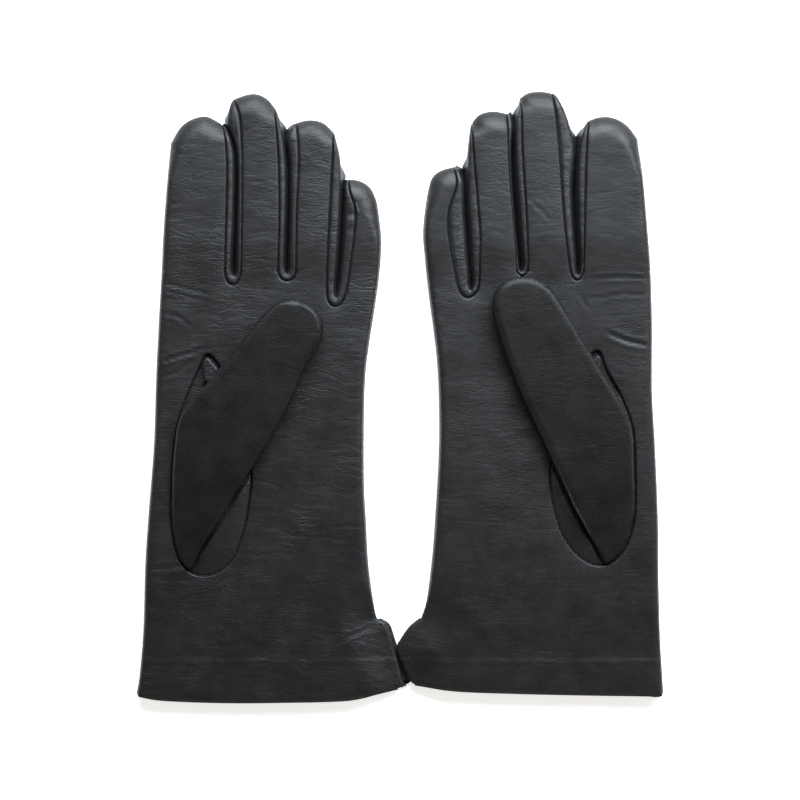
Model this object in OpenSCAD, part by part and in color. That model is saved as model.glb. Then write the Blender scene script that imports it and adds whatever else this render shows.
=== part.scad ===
// A pair of lined leather dress gloves, lying palm up side by side with the thumbs folded over the palms.
// The left-hand glove is at -X and the right-hand glove at +X. Fingers point to +Y, and the backs lie on z = 0.

/* [Materials] */
// Thickness of the leather
leather_t = 0.7; // [0.5:0.1:0.8]
// Thickness of the knitted lining
lining_t = 0.6; // [0.4:0.1:0.8]
// Clearance between two layers
layer_gap = 0.05; // [0.03:0.01:0.08]

/* [Heights] */
// Height of a hand or finger that lies flat
hand_h = 9.5; // [9:0.5:12]
// Height of a thumb that lies on the palm
thumb_h = 8.8; // [8:0.2:11]
// Clearance between the palm and the thumb on it
thumb_lift = 0.3; // [0.2:0.1:0.6]

/* [Seams] */
// Width of a row of sewing
thread_w = 0.45; // [0.3:0.05:0.6]
// How far a fourchette's edge is tucked under its seam
allowance = 0.6; // [0.4:0.1:1]
// Width of the facing that is folded in along the vent
facing_w = 5; // [3:0.5:5.5]
// Straight pieces in each stretch of a curve
steps = 4; // [2:1:6]

/* [Hidden] */
GLOVES = ["left", "right"];
FINGERS = ["index", "middle", "ring", "little"];
HAND_PARTS = ["trank", "hem", "hand_lining", "slit_webs", "thumb_root", "thumb_quirk", "vent_facing",
              "side_seam", "oval_seam", "vent_stitching"];
FINGER_PARTS = ["leather", "fourchettes", "lining", "seams"];
THUMB_PARTS = ["thumb_leather", "thumb_lining", "thumb_seam"];

LEATHER = "#2b2b30";
STRIP = "#3a3a42";
LINING = "#55504c";
THREAD = "#111114";

// Heights of the layers. A fourchette is tucked under both faces, and the lining lies inside it.
tuck_low = leather_t + layer_gap;
tuck_high = hand_h - leather_t - layer_gap;
lining_low = tuck_low + leather_t + layer_gap;
lining_high = tuck_high - leather_t - layer_gap;
lining_in = leather_t + layer_gap;
seam_mid = hand_h / 2;
thumb_low = hand_h + thumb_lift;
thumb_high = thumb_low + thumb_h;
thumb_mid = (thumb_low + thumb_high) / 2;

// ---- Pattern of each glove. Both are listed with the thumb at the left, and the right-hand glove is mirrored.
// Outlines run clockwise: up the fold at the thumb side, round each finger, down the little finger's side
// and back along the cuff. A finger starts 0.5 mm above its crease, and the hand ends 0.5 mm below it.

// A finger: [fold or seam going up, tip, seam going down, strip's edge going up, strip's edge going down]
LEFT_FINGERS = [
    [[[-95.3, 54.5], [-94.4, 71], [-92.8, 91], [-91.8, 101.5]],
     [[-91.8, 101.5], [-88, 107.8], [-83.2, 111.2], [-77.5, 112.2], [-71.8, 109.3]],
     [[-71.8, 109.3], [-70, 105], [-69.1, 92], [-69.4, 70], [-69.8, 54.5]],
     [],
     [[-69, 106.4], [-66.9, 100.6], [-66, 92], [-66.3, 72], [-67.3, 54.5]]],
    [[[-63.3, 54.5], [-63, 75], [-63, 99], [-64, 112.5], [-66.8, 119]],
     [[-66.8, 119], [-62, 120.8], [-57.4, 121.2], [-53.2, 119.2], [-50.4, 116]],
     [[-50.4, 116], [-49.4, 108], [-48.4, 91], [-48.2, 70.6], [-48.6, 54.5]],
     [[-65.2, 54.5], [-64.9, 75], [-64.9, 93], [-66, 101], [-68.6, 107.6], [-69, 112], [-67.8, 117]],
     [[-48.1, 110.5], [-46.6, 104], [-45.4, 93], [-45.2, 78.6], [-46.1, 54.5]]],
    [[[-41.4, 54.5], [-41.1, 74], [-40.3, 91], [-40.4, 101], [-41.4, 109.7]],
     [[-41.4, 109.7], [-36.5, 110.8], [-31, 109.8], [-26.9, 106.2]],
     [[-26.9, 106.2], [-26.7, 99], [-27.4, 89], [-28.1, 74], [-29.1, 54.5]],
     [[-44.3, 54.5], [-43.9, 75], [-44, 94], [-45.3, 103], [-43.2, 108.2]],
     [[-25.4, 102], [-23.9, 95], [-23.3, 84], [-24.2, 65], [-25.1, 54.5]]],
    [[[-20.5, 46.5], [-18.4, 62], [-17.6, 74], [-19.9, 81.5], [-20.6, 87]],
     [[-20.6, 87], [-16.5, 86.5], [-12.2, 84], [-9.6, 79], [-8.6, 74]],
     [[-8.6, 74], [-7.4, 63], [-7.8, 54], [-8.5, 46.5]],
     [[-24, 46.5], [-22.9, 60], [-22.4, 74], [-22.2, 84.5]],
     []]];
RIGHT_FINGERS = [
    [[[-100.2, 54.5], [-98.9, 70], [-97.3, 88], [-95, 103.5]],
     [[-95, 103.5], [-91, 108.6], [-86, 111.5], [-80.5, 112.1], [-76.2, 110.8]],
     [[-76.2, 110.8], [-75, 106], [-74.3, 90], [-73.8, 72], [-73.4, 54.5]],
     [],
     [[-73.2, 106.4], [-71.5, 99.5], [-70.8, 87], [-71.3, 68], [-72.2, 54.5]]],
    [[[-67.3, 54.5], [-65.4, 71], [-63.8, 94], [-62.4, 110], [-60.8, 121.6]],
     [[-60.8, 121.6], [-56, 122.2], [-51.4, 121.7], [-47.9, 119.4]],
     [[-47.9, 119.4], [-48.5, 114], [-49, 97], [-50.5, 73], [-51.2, 54.5]],
     [[-70.3, 54.5], [-69.3, 68], [-68.7, 84], [-69.8, 99.5], [-66.6, 112.3], [-63.2, 119.4]],
     [[-47.4, 115], [-46, 108.5], [-46, 96], [-47.6, 73], [-49.4, 54.5]]],
    [[[-46.5, 54.5], [-45, 73], [-43.7, 90], [-43.2, 103], [-42.6, 113.4]],
     [[-42.6, 113.4], [-37.2, 114.3], [-31.8, 113], [-28.9, 109.8]],
     [[-28.9, 109.8], [-28.9, 104], [-30.6, 84], [-32.2, 64], [-31.9, 54.5]],
     [[-47.2, 54.5], [-45.6, 73], [-44.4, 90], [-44.4, 101], [-45, 108], [-44.2, 112]],
     [[-27.9, 105.6], [-26.9, 96], [-26.9, 82], [-27.9, 66], [-28.7, 54.5]]],
    [[[-21.8, 49.5], [-19.4, 64], [-19.4, 74], [-22.6, 84.5], [-21.4, 92]],
     [[-21.4, 92], [-16.5, 90.6], [-12.8, 87.6], [-11, 81], [-9.8, 73]],
     [[-9.8, 73], [-9.2, 65], [-9.9, 56], [-10.5, 49.5]],
     [[-27.5, 49.5], [-26.4, 64], [-25.6, 77], [-25.4, 85], [-23.6, 90.8]],
     []]];

// A slit between two fingers, down and up again: [seam round it, edge of the strip in it]
LEFT_SLITS = [
    [[[-69.8, 53.5], [-69.7, 48], [-68.4, 45.2], [-66.8, 44.6], [-65, 45.3], [-63.8, 48], [-63.3, 53.5]],
     [[-67.3, 53.5], [-67.1, 50], [-66.3, 48.6], [-65.4, 50], [-65.2, 53.5]]],
    [[[-48.6, 53.5], [-48.5, 49], [-47, 46.7], [-45.1, 46.2], [-43, 46.7], [-41.7, 49], [-41.4, 53.5]],
     [[-46.1, 53.5], [-46, 50.7], [-45.2, 49.4], [-44.4, 50.7], [-44.3, 53.5]]],
    [[[-29.1, 53.5], [-29.3, 44], [-28.8, 38.4], [-27, 36.2], [-24.8, 36.2], [-22.6, 38.4], [-20.6, 45.5]],
     [[-25.1, 53.5], [-25.8, 46.6], [-26, 41.6], [-25.4, 40], [-24.8, 41.6], [-24.1, 45.5]]]];
RIGHT_SLITS = [
    [[[-73.4, 53.5], [-72.9, 49], [-71.2, 46.5], [-69.4, 47], [-68.2, 49.4], [-67.4, 53.5]],
     [[-72.2, 53.5], [-72.1, 50.4], [-71.3, 48.8], [-70.6, 50.4], [-70.3, 53.5]]],
    [[[-51.2, 53.5], [-50.8, 50.2], [-49.4, 48.2], [-47.8, 48.6], [-46.8, 50.4], [-46.5, 53.5]],
     [[-49.4, 53.5], [-49.2, 51.4], [-48.4, 50.2], [-47.5, 51.4], [-47.2, 53.5]]],
    [[[-31.9, 53.5], [-31.7, 45], [-30.2, 41], [-26.6, 39.4], [-23.8, 42], [-22, 48.5]],
     [[-28.7, 53.5], [-29.3, 46.6], [-29.2, 44.2], [-28.5, 42.8], [-27.8, 44.2], [-27.6, 48.5]]]];

// Fold from the cuff up to the index finger's crease
LEFT_FOLD = [[-105.6, -119], [-104.4, -112], [-102.8, -93], [-102, -66], [-100.5, -44], [-98.5, -18],
             [-97.7, 7], [-96.6, 30], [-95.3, 53.5]];
RIGHT_FOLD = [[-105.6, -119], [-105.1, -112], [-104.2, -96], [-103.6, -74], [-103.4, -50], [-102.2, -20],
              [-101, 2], [-101, 30], [-100.3, 53.5]];

// Side seam from the little finger's crease down to the top of the vent
LEFT_SIDE = [[-8.6, 45.5], [-10.2, 34.6], [-12, 23.4], [-13.8, 9], [-14.4, -8], [-14.4, -34], [-13.6, -50],
             [-12.6, -68], [-10.4, -84], [-9.2, -89]];
RIGHT_SIDE = [[-10.6, 48.5], [-12, 37], [-13.4, 27], [-14.9, 13], [-15.6, -2], [-15.6, -20], [-14.5, -42],
              [-13, -63], [-10.8, -81], [-8.6, -88.6]];

// Vent below the side seam: the palm's edge and the back's edge. The right-hand glove's corner
// stops beside the left-hand glove's corner, which lies against it.
LEFT_VENT_PALM = [[-8.4, -90], [-5.9, -92], [-3.2, -100], [1, -116]];
LEFT_VENT_BACK = [[-8.4, -89.6], [-4.8, -91.6], [-3.2, -95.5], [0, -105.4], [4.2, -114.8]];
RIGHT_VENT = [[-7.4, -90.2], [-3.8, -93.2], [-0.6, -98], [0.7, -100.6], [-0.7, -105.6], [-4.9, -115]];

// Line that the vent's facing and sewing follow, 2 mm inside its edge
LEFT_ROW_PALM = [[-7.4, -93.6], [-4.8, -101.4], [-0.6, -115.6]];
LEFT_ROW_BACK = [[-6.4, -94.4], [-2.8, -104], [1.6, -113.8]];
RIGHT_ROW = [[-7.8, -93], [-3.2, -99.4], [-3.4, -106], [-7.2, -113.6]];

// Cuff from the vent back to the fold
LEFT_CUFF_PALM = [[-0.2, -116.9], [-9.2, -118.9], [-22, -121.4], [-48, -122.1], [-72, -122.2], [-95, -121.3], [-104, -119.8]];
LEFT_CUFF_BACK = [[3.4, -115.6], [-9.2, -118.9], [-22, -121.4], [-48, -122.1], [-72, -122.2], [-95, -121.3], [-104, -119.8]];
RIGHT_CUFF = [[-6, -115.4], [-22.6, -117.6], [-46, -118.5], [-76, -119.2], [-104.2, -119.6]];

// Turned-in hem inside the cuff
LEFT_HEM = [[-103, -105.4], [-60, -105.6], [-17, -105.2], [-13, -118.4], [-48, -121.2], [-72, -121.3], [-103.6, -118.6]];
RIGHT_HEM = [[-104, -105.4], [-60, -105.6], [-18, -105.2], [-15, -115.8], [-46, -117.6], [-76, -118.3], [-104.4, -118.6]];

// Seam that sets the thumb into the palm, closed
LEFT_OVAL = [[-77, 16.6], [-72.4, 12], [-66, -2], [-61.5, -18], [-59.6, -31.4], [-60.4, -42], [-62.4, -53],
             [-66.8, -64.6], [-74, -70.6], [-82, -70.8], [-88, -64.8], [-90.9, -52], [-91.1, -38], [-90.2, -22],
             [-87.6, -8], [-83.4, 3.5], [-79.6, 12]];
RIGHT_OVAL = [[-79, 18], [-74, 13], [-67, 0], [-62.5, -16], [-60.2, -31], [-61.2, -42], [-64.5, -54],
              [-70, -62.2], [-77, -66.8], [-84, -66.2], [-90, -60], [-93.4, -48], [-93.7, -34], [-92.9, -14],
              [-89, -2], [-82.4, 10.5]];

// Small gusset at the top of that seam, closed
LEFT_QUIRK = [[-78.4, 12.8], [-76.9, 15.4], [-74.6, 13], [-72.6, 10.4], [-75, 6.6], [-77.6, 6.2]];
RIGHT_QUIRK = [[-80.2, 13.8], [-79, 16.4], [-76.8, 14.4], [-74.8, 11.4], [-76.6, 7.6], [-79.2, 8]];

// The folded thumb seen from above, closed, and the points of it between which its edge is sewn
THUMB_SEWN = [9, 17];
LEFT_THUMB = [[-83.2, -69.2], [-88, -64.2], [-90.5, -53.4], [-90.9, -38], [-90, -22], [-87.3, -7.4], [-77.6, 4.4],
              [-60.8, 24.6], [-52, 34.8], [-46, 38.4], [-39, 38], [-33.4, 34.6], [-30.6, 29.4], [-31.2, 22.4],
              [-37.7, 10.9], [-43.4, -2.4], [-54.6, -21.8], [-69.2, -44.2], [-79.6, -61]];
RIGHT_THUMB = [[-82, -66.6], [-88, -61.4], [-92.2, -51], [-93.6, -41], [-93.1, -28], [-92.3, -13], [-87, -0.4],
               [-76, 16.6], [-66, 33.6], [-58.6, 44], [-50.6, 47.6], [-42.6, 46.2], [-37.8, 41.6], [-36.6, 33.6],
               [-40.4, 20], [-48, 0.6], [-58, -20.6], [-69, -43.6], [-77.4, -58.6]];

// Throat through which the wearer's thumb passes, closed
LEFT_THROAT = [[-80, -7], [-72.5, -8], [-68.5, -17], [-69.5, -31], [-76, -46], [-83.5, -54], [-87, -44], [-86, -24]];
RIGHT_THROAT = [[-84, -5], [-76, -6], [-70, -16], [-70.5, -31], [-77, -46], [-85, -53], [-89.5, -42], [-89, -22]];

// ---- Picks from the pattern
function of_glove(g, left, right) = g == "left" ? left : right;
function finger(g, i) = of_glove(g, LEFT_FINGERS, RIGHT_FINGERS)[i];
function slits(g) = of_glove(g, LEFT_SLITS, RIGHT_SLITS);

// ---- Curves
function spline_at(a, b, c, d, t) =
    0.5 * (2 * b + (c - a) * t + (2 * a - 5 * b + 4 * c - d) * t * t + (3 * b - a - 3 * c + d) * t * t * t);
// A smooth open curve through the points
function curve(p) = let (last = len(p) - 1) [
    for (i = [0 : last - 1], s = [0 : steps - 1])
        spline_at(p[max(i - 1, 0)], p[i], p[i + 1], p[min(i + 2, last)], s / steps),
    p[last]];
// A smooth closed curve through the points
function loop(p) = let (n = len(p)) [
    for (i = [0 : n - 1], s = [0 : steps - 1])
        spline_at(p[(i + n - 1) % n], p[i], p[(i + 1) % n], p[(i + 2) % n], s / steps)];
// One outline from several curves, with the points that coincide taken once
function chain(curves) = let (p = [for (c = curves) each c], n = len(p))
    [for (i = [0 : n - 1]) if (norm(p[i] - p[(i + n - 1) % n]) > 0.02) p[i]];
function reversed(p) = [for (i = [len(p) - 1 : -1 : 0]) p[i]];

// Right-hand normal of a step, which points inwards on a clockwise outline
function inward(v) = [v.y, -v.x] / norm(v);
function shifted(b, n1, n2, d) = b + d * (n1 + n2) / max(0.4, 1 + n1 * n2);
// An open curve moved inwards by d
function beside(c, d) = let (last = len(c) - 1) [
    for (i = [0 : last]) let (
        n1 = inward(c[max(i, 1)] - c[max(i, 1) - 1]),
        n2 = inward(c[min(i, last - 1) + 1] - c[min(i, last - 1)])) shifted(c[i], n1, n2, d)];
// A closed outline moved inwards by d
function inset(p, d) = let (n = len(p)) [
    for (i = [0 : n - 1]) let (
        n1 = inward(p[i] - p[(i + n - 1) % n]),
        n2 = inward(p[(i + 1) % n] - p[i])) shifted(p[i], n1, n2, d)];
// The strip between two curves beside c
function strip(c, from, to) = concat(beside(c, from), reversed(beside(c, to)));

module slab(outline, low, high) {
    translate([0, 0, low]) linear_extrude(high - low) polygon(outline);
}

// Places one glove: the pattern as it is, or its mirror image
module placed(g) {
    if (g == "left") children();
    else mirror([1, 0, 0]) children();
}

// ---- The hand
function fold(g) = curve(of_glove(g, LEFT_FOLD, RIGHT_FOLD));
function side(g) = curve(of_glove(g, LEFT_SIDE, RIGHT_SIDE));
function vent_palm(g) = curve(of_glove(g, LEFT_VENT_PALM, RIGHT_VENT));
function vent_back(g) = curve(of_glove(g, LEFT_VENT_BACK, RIGHT_VENT));
function row_palm(g) = curve(of_glove(g, LEFT_ROW_PALM, RIGHT_ROW));
function row_back(g) = curve(of_glove(g, LEFT_ROW_BACK, RIGHT_ROW));
function cuff_palm(g) = curve(of_glove(g, LEFT_CUFF_PALM, RIGHT_CUFF));
function cuff_back(g) = curve(of_glove(g, LEFT_CUFF_BACK, RIGHT_CUFF));
function oval(g) = loop(of_glove(g, LEFT_OVAL, RIGHT_OVAL));
function quirk(g) = loop(of_glove(g, LEFT_QUIRK, RIGHT_QUIRK));
function throat(g) = loop(of_glove(g, LEFT_THROAT, RIGHT_THROAT));
function palm_face(g) = chain([fold(g), for (s = slits(g)) curve(s[0]), side(g), vent_palm(g), cuff_palm(g)]);
function back_face(g) = chain([fold(g), for (s = slits(g)) curve(s[0]), side(g), vent_back(g), cuff_back(g)]);

// One piece of leather that wraps round the thumb side: palm, fold and back, cut for the thumb
module trank(g) {
    color(LEATHER) placed(g) {
        slab(back_face(g), 0, leather_t);
        difference() {
            slab(palm_face(g), hand_h - leather_t, hand_h);
            slab(inset(oval(g), -thread_w / 2 - layer_gap), hand_h - 2 * leather_t, hand_h + 1);
        }
        slab(strip(fold(g), 0, leather_t), 0, hand_h);
        slab(strip(side(g), 0, leather_t), 0, seam_mid - thread_w / 2);
        slab(strip(side(g), 0, leather_t), seam_mid + thread_w / 2, hand_h);
    }
}

// Edge of the cuff, turned in on both faces
module hem(g) {
    outline = of_glove(g, LEFT_HEM, RIGHT_HEM);
    color(LEATHER) placed(g) {
        slab(outline, tuck_low, lining_low - layer_gap);
        slab(outline, lining_high + layer_gap, tuck_high);
    }
}

// Knitted lining of the hand, open at the cuff, the fingers and the thumb
module hand_lining(g) {
    walls = [fold(g), for (s = slits(g)) curve(s[1]), side(g)];
    face = chain([for (w = walls) beside(w, lining_in), beside(vent_palm(g), lining_in),
                  beside(cuff_palm(g), lining_in)]);
    color(LINING) placed(g) {
        slab(face, lining_low, lining_low + lining_t);
        difference() {
            slab(face, lining_high - lining_t, lining_high);
            slab(throat(g), lining_high - 2 * lining_t, lining_high + 1);
        }
        for (w = walls) slab(strip(w, lining_in, lining_in + lining_t), lining_low, lining_high);
    }
}

// Strip of leather between a seam and an outer edge, folded in under both faces
module fourchette(seam, edge) {
    flange = concat(edge, reversed(beside(seam, allowance)));
    slab(strip(edge, 0, leather_t), tuck_low, tuck_high);
    slab(flange, tuck_low, tuck_low + leather_t);
    slab(flange, tuck_high - leather_t, tuck_high);
}

// Bases of the three fourchettes, at the bottoms of the slits
module slit_webs(g) {
    color(STRIP) placed(g) for (s = slits(g)) fourchette(curve(s[0]), curve(s[1]));
}

// Edge of the thumb where it is sewn into the palm, with the throat through it
module thumb_root(g) {
    color(LEATHER) placed(g) difference() {
        slab(inset(oval(g), thread_w / 2 + layer_gap), hand_h - leather_t, hand_h);
        slab(throat(g), hand_h - 2 * leather_t, hand_h + 1);
        slab(inset(quirk(g), -layer_gap * 2), hand_h - 2 * leather_t, hand_h + 1);
    }
}

module thumb_quirk(g) {
    color(STRIP) placed(g) slab(quirk(g), hand_h - leather_t, hand_h);
}

// Leather folded in along both edges of the vent
module vent_facing(g) {
    color(LEATHER) placed(g) {
        slab(strip(row_back(g), -facing_w / 3, facing_w / 2), tuck_low, lining_low - layer_gap);
        slab(strip(row_palm(g), -facing_w / 3, facing_w / 2), lining_high + layer_gap, tuck_high);
    }
}

// Sewing of the little finger's side, in its seam
module side_seam(g) {
    color(THREAD) placed(g)
        slab(strip(side(g), 0.1, leather_t), seam_mid - thread_w / 2, seam_mid + thread_w / 2);
}

// Sewing round the thumb
module oval_seam(g) {
    color(THREAD) placed(g) difference() {
        slab(inset(oval(g), -thread_w / 2), hand_h - leather_t, hand_h - layer_gap);
        slab(inset(oval(g), thread_w / 2), hand_h - 2 * leather_t, hand_h + 1);
    }
}

// Two rows of sewing along the vent, on the palm's face
module vent_stitching(g) {
    color(THREAD) placed(g) for (row = [-1, 1])
        slab(strip(row_palm(g), row, row + thread_w), hand_h, hand_h + 0.15);
}

// ---- A finger
// Outer edges, going up and down: the fold or side where there is no strip
function edge_up(f) = curve(len(f[3]) > 0 ? f[3] : f[0]);
function edge_down(f) = curve(len(f[4]) > 0 ? f[4] : f[2]);
// The stretches of its face's edges that are sewn to the strips, which stop short of the tip
function sewn_up(f) = let (c = curve(f[0])) [for (k = [0 : len(c) - 1 - steps]) c[k]];
function sewn_down(f) = let (c = curve(f[2])) [for (k = [steps : len(c) - 1]) c[k]];

module finger_leather(g, i) {
    f = finger(g, i);
    wall = chain([len(f[3]) > 0 ? [] : curve(f[0]), curve(f[1]), len(f[4]) > 0 ? [] : curve(f[2])]);
    face = chain([curve(f[0]), curve(f[1]), curve(f[2])]);
    color(LEATHER) placed(g) {
        slab(face, 0, leather_t);
        slab(face, hand_h - leather_t, hand_h);
        slab(strip(wall, 0, leather_t), 0, hand_h);
    }
}

// The strips along a finger's sides: two on a middle or ring finger, one on the others
module finger_fourchettes(g, i) {
    f = finger(g, i);
    color(STRIP) placed(g) {
        if (len(f[3]) > 0) fourchette(sewn_up(f), curve(f[3]));
        if (len(f[4]) > 0) fourchette(sewn_down(f), curve(f[4]));
    }
}

module finger_lining(g, i) {
    f = finger(g, i);
    outer = beside(chain([edge_up(f), curve(f[1]), edge_down(f)]), lining_in);
    inner = beside(chain([edge_up(f), curve(f[1]), edge_down(f)]), lining_in + lining_t);
    color(LINING) placed(g) {
        slab(outer, lining_low, lining_low + lining_t);
        slab(outer, lining_high - lining_t, lining_high);
        slab(concat(outer, reversed(inner)), lining_low, lining_high);
    }
}

// Sewing of both faces to the strips
module finger_seams(g, i) {
    f = finger(g, i);
    sewn = [if (len(f[3]) > 0) sewn_up(f), if (len(f[4]) > 0) sewn_down(f)];
    row_h = leather_t - 2 * layer_gap;
    color(THREAD) placed(g) for (s = sewn, low = [layer_gap, tuck_high + layer_gap])
        slab(strip(s, -layer_gap, -thread_w), low, low + row_h);
}

// ---- The thumb
function thumb(g) = loop(of_glove(g, LEFT_THUMB, RIGHT_THUMB));
function thumb_edge(g) = let (c = thumb(g)) [for (k = [THUMB_SEWN[0] * steps : THUMB_SEWN[1] * steps]) c[k]];

// A closed bag with a hole below for the throat
module thumb_bag(g, from, wall, low, high) {
    difference() {
        slab(inset(thumb(g), from), low, high);
        slab(inset(thumb(g), from + wall), low + wall, high - wall);
        slab(throat(g), low - 1, low + 2 * wall);
    }
}

module thumb_leather(g) {
    color(LEATHER) placed(g) difference() {
        thumb_bag(g, 0, leather_t, thumb_low, thumb_high);
        slab(strip(thumb_edge(g), -0.5, leather_t + 0.01), thumb_mid - thread_w / 2, thumb_mid + thread_w / 2);
    }
}

module thumb_lining(g) {
    color(LINING) placed(g)
        thumb_bag(g, lining_in, lining_t, thumb_low + lining_in, thumb_high - lining_in);
}

// Sewing along the thumb's tip and inner side, in its seam
module thumb_seam(g) {
    color(THREAD) placed(g)
        slab(strip(thumb_edge(g), 0.1, leather_t), thumb_mid - thread_w / 2 + 0.02, thumb_mid + thread_w / 2 - 0.02);
}

for (g = GLOVES) {
    trank(g);
    hem(g);
    hand_lining(g);
    slit_webs(g);
    thumb_root(g);
    thumb_quirk(g);
    vent_facing(g);
    side_seam(g);
    oval_seam(g);
    vent_stitching(g);
    for (i = [0 : 3]) {
        finger_leather(g, i);
        finger_fourchettes(g, i);
        finger_lining(g, i);
        finger_seams(g, i);
    }
    thumb_leather(g);
    thumb_lining(g);
    thumb_seam(g);
}
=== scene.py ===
import math

import bpy
import numpy as np
from bpy.props import FloatProperty, FloatVectorProperty, PointerProperty
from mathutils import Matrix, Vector, geometry
from mathutils.bvhtree import BVHTree


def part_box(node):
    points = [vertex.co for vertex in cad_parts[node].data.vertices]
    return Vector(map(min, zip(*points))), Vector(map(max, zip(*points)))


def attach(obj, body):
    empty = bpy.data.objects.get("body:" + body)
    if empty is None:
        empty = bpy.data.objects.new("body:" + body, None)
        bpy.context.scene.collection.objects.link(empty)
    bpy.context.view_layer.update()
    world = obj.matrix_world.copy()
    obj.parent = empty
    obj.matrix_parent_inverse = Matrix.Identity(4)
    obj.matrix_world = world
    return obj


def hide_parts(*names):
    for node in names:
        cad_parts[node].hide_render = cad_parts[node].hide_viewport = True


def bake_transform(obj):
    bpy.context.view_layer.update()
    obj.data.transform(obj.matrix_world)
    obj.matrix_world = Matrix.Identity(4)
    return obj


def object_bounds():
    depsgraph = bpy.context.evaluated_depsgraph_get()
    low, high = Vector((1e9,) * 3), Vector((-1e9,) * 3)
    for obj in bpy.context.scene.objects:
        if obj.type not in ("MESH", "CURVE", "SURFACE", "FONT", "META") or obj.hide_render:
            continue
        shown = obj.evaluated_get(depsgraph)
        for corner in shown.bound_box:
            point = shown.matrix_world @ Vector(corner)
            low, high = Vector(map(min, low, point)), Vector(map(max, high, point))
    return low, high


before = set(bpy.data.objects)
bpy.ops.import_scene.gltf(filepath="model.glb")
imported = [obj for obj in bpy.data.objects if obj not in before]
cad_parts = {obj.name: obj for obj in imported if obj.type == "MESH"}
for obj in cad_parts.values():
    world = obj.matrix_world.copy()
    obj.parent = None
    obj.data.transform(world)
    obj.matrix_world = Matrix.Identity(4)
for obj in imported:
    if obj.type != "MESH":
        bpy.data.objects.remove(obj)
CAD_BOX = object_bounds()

bl_info = {
    "name": "Dress Gloves",
    "version": (1, 0, 0),
    "blender": (4, 5, 0),
    "location": "View3D > Sidebar > Gloves",
    "description": "Builds the leather, lining and sewing of a pair of dress gloves round their frame",
    "category": "Object",
}

MM = 0.001
SPLIT_BELOW = 4.5       # how far below a finger's base its leather begins to bend, mm
TIP_ROUND = 7.5         # how much wider the leather turns over at a fingertip, mm
VENT_ROWS = (1.3, 3.1)  # rows of stitching beside a vent, mm in from its edge
THUMB_ROW = 1.15        # row of stitching along the thumb's side, mm in from its edge
GLOVES = ("left", "right")
FINGERS = ("index", "middle", "ring", "little")
FAR = 1e3
REST = "cut_place"      # attribute that keeps each point's place on the leather


# ---------------------------------------------------------------- settings

def millimetres(name, default, low, high, what):
    return FloatProperty(name=name, default=default, min=low, max=high, description=what + ", mm")


def dye(name, default, what):
    return FloatVectorProperty(name=name, description=what, default=default, subtype="COLOR", size=3,
                               min=0, max=1)


class GloveSettings(bpy.types.PropertyGroup):
    """Sizes of the leather, in millimetres."""
    finger_height: millimetres("Finger Height", 10.0, 8, 12, "Height of a finger's crown above the table")
    palm_height: millimetres("Palm Height", 8.9, 7, 9.3, "Height of the palm under the thumb")
    cuff_height: millimetres("Cuff Height", 7.4, 5, 9, "Height of the palm's face at the cuff's mouth")
    thumb_height: millimetres("Thumb Height", 17.2, 14, 19, "Height of the thumb's crown above the table")
    fold_radius: millimetres("Fold Radius", 2.1, 1.5, 7, "How far in from a fold the leather turns over")
    seam_depth: millimetres("Seam Depth", 0.30, 0, 2, "How deep the leather dips into a seam")
    seam_roll: millimetres("Seam Roll", 1.0, 0.6, 5, "How far from a seam the leather begins to dip")
    grain_step: millimetres("Mesh Step", 1.15, 0.6, 3, "Distance between points in the open leather")
    stitch_pitch: millimetres("Stitch Pitch", 2.2, 1, 4, "Distance from one stitch to the next")
    wrinkle: millimetres("Wrinkle Height", 0.06, 0, 0.5, "Height of the small crosswise wrinkles")


class GloveColours(bpy.types.PropertyGroup):
    """Colours of the leather, lining and thread."""
    leather: dye("Leather", (0.0062, 0.0060, 0.0062), "Face leather")
    strip: dye("Finger Strips", (0.0074, 0.0073, 0.0078), "Leather of the fourchettes")
    lining: dye("Lining", (0.020, 0.019, 0.018), "Knitted lining")
    thumb: dye("Thumb", (0.0040, 0.0038, 0.0037), "Leather of the thumbs")
    thread: dye("Thread", (0.004, 0.004, 0.005), "Sewing thread")
    floor: dye("Table", (0.86, 0.87, 0.89), "Surface that the gloves lie on")


def settings():
    return bpy.context.scene.glove_settings


def colours():
    return bpy.context.scene.glove_colours


# ---------------------------------------------------------------- small maths

def smooth(t):
    t = np.clip(t, 0.0, 1.0)
    return t * t * (3 - 2 * t)


def rising(value, low, high):
    """0 below low, 1 above high, and smooth between them."""
    return smooth((value - low) / (high - low))


def turned_over(distance, radius):
    """Height of a quarter-round edge, from 0 at the edge to 1 at its radius and beyond."""
    u = np.clip(distance / radius, 0.0, 1.0)
    return np.sqrt(np.clip(1 - (1 - u) ** 2.2, 0, 1))


def lattice_noise(x, y, seed):
    """Smooth gradient noise from about -1 to 1."""
    xi, yi = np.floor(x).astype(int), np.floor(y).astype(int)
    fx, fy = x - xi, y - yi

    def corner(ix, iy, dx, dy):
        h = (ix * 374761393 + iy * 668265263 + seed * 1442695041) & 0x7FFFFFFF
        h = ((h ^ (h >> 13)) * 1274126177) & 0x7FFFFFFF
        angle = (h ^ (h >> 16)) % 3600 * (2 * math.pi / 3600)
        return np.cos(angle) * dx + np.sin(angle) * dy

    u, v = (t * t * t * (t * (t * 6 - 15) + 10) for t in (fx, fy))
    low = corner(xi, yi, fx, fy) * (1 - u) + corner(xi + 1, yi, fx - 1, fy) * u
    high = corner(xi, yi + 1, fx, fy - 1) * (1 - u) + corner(xi + 1, yi + 1, fx - 1, fy - 1) * u
    return 1.5 * (low * (1 - v) + high * v)


def unit(v):
    return v / np.maximum(np.linalg.norm(v, axis=-1, keepdims=True), 1e-9)


# ---------------------------------------------------------------- outlines from the frame

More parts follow.
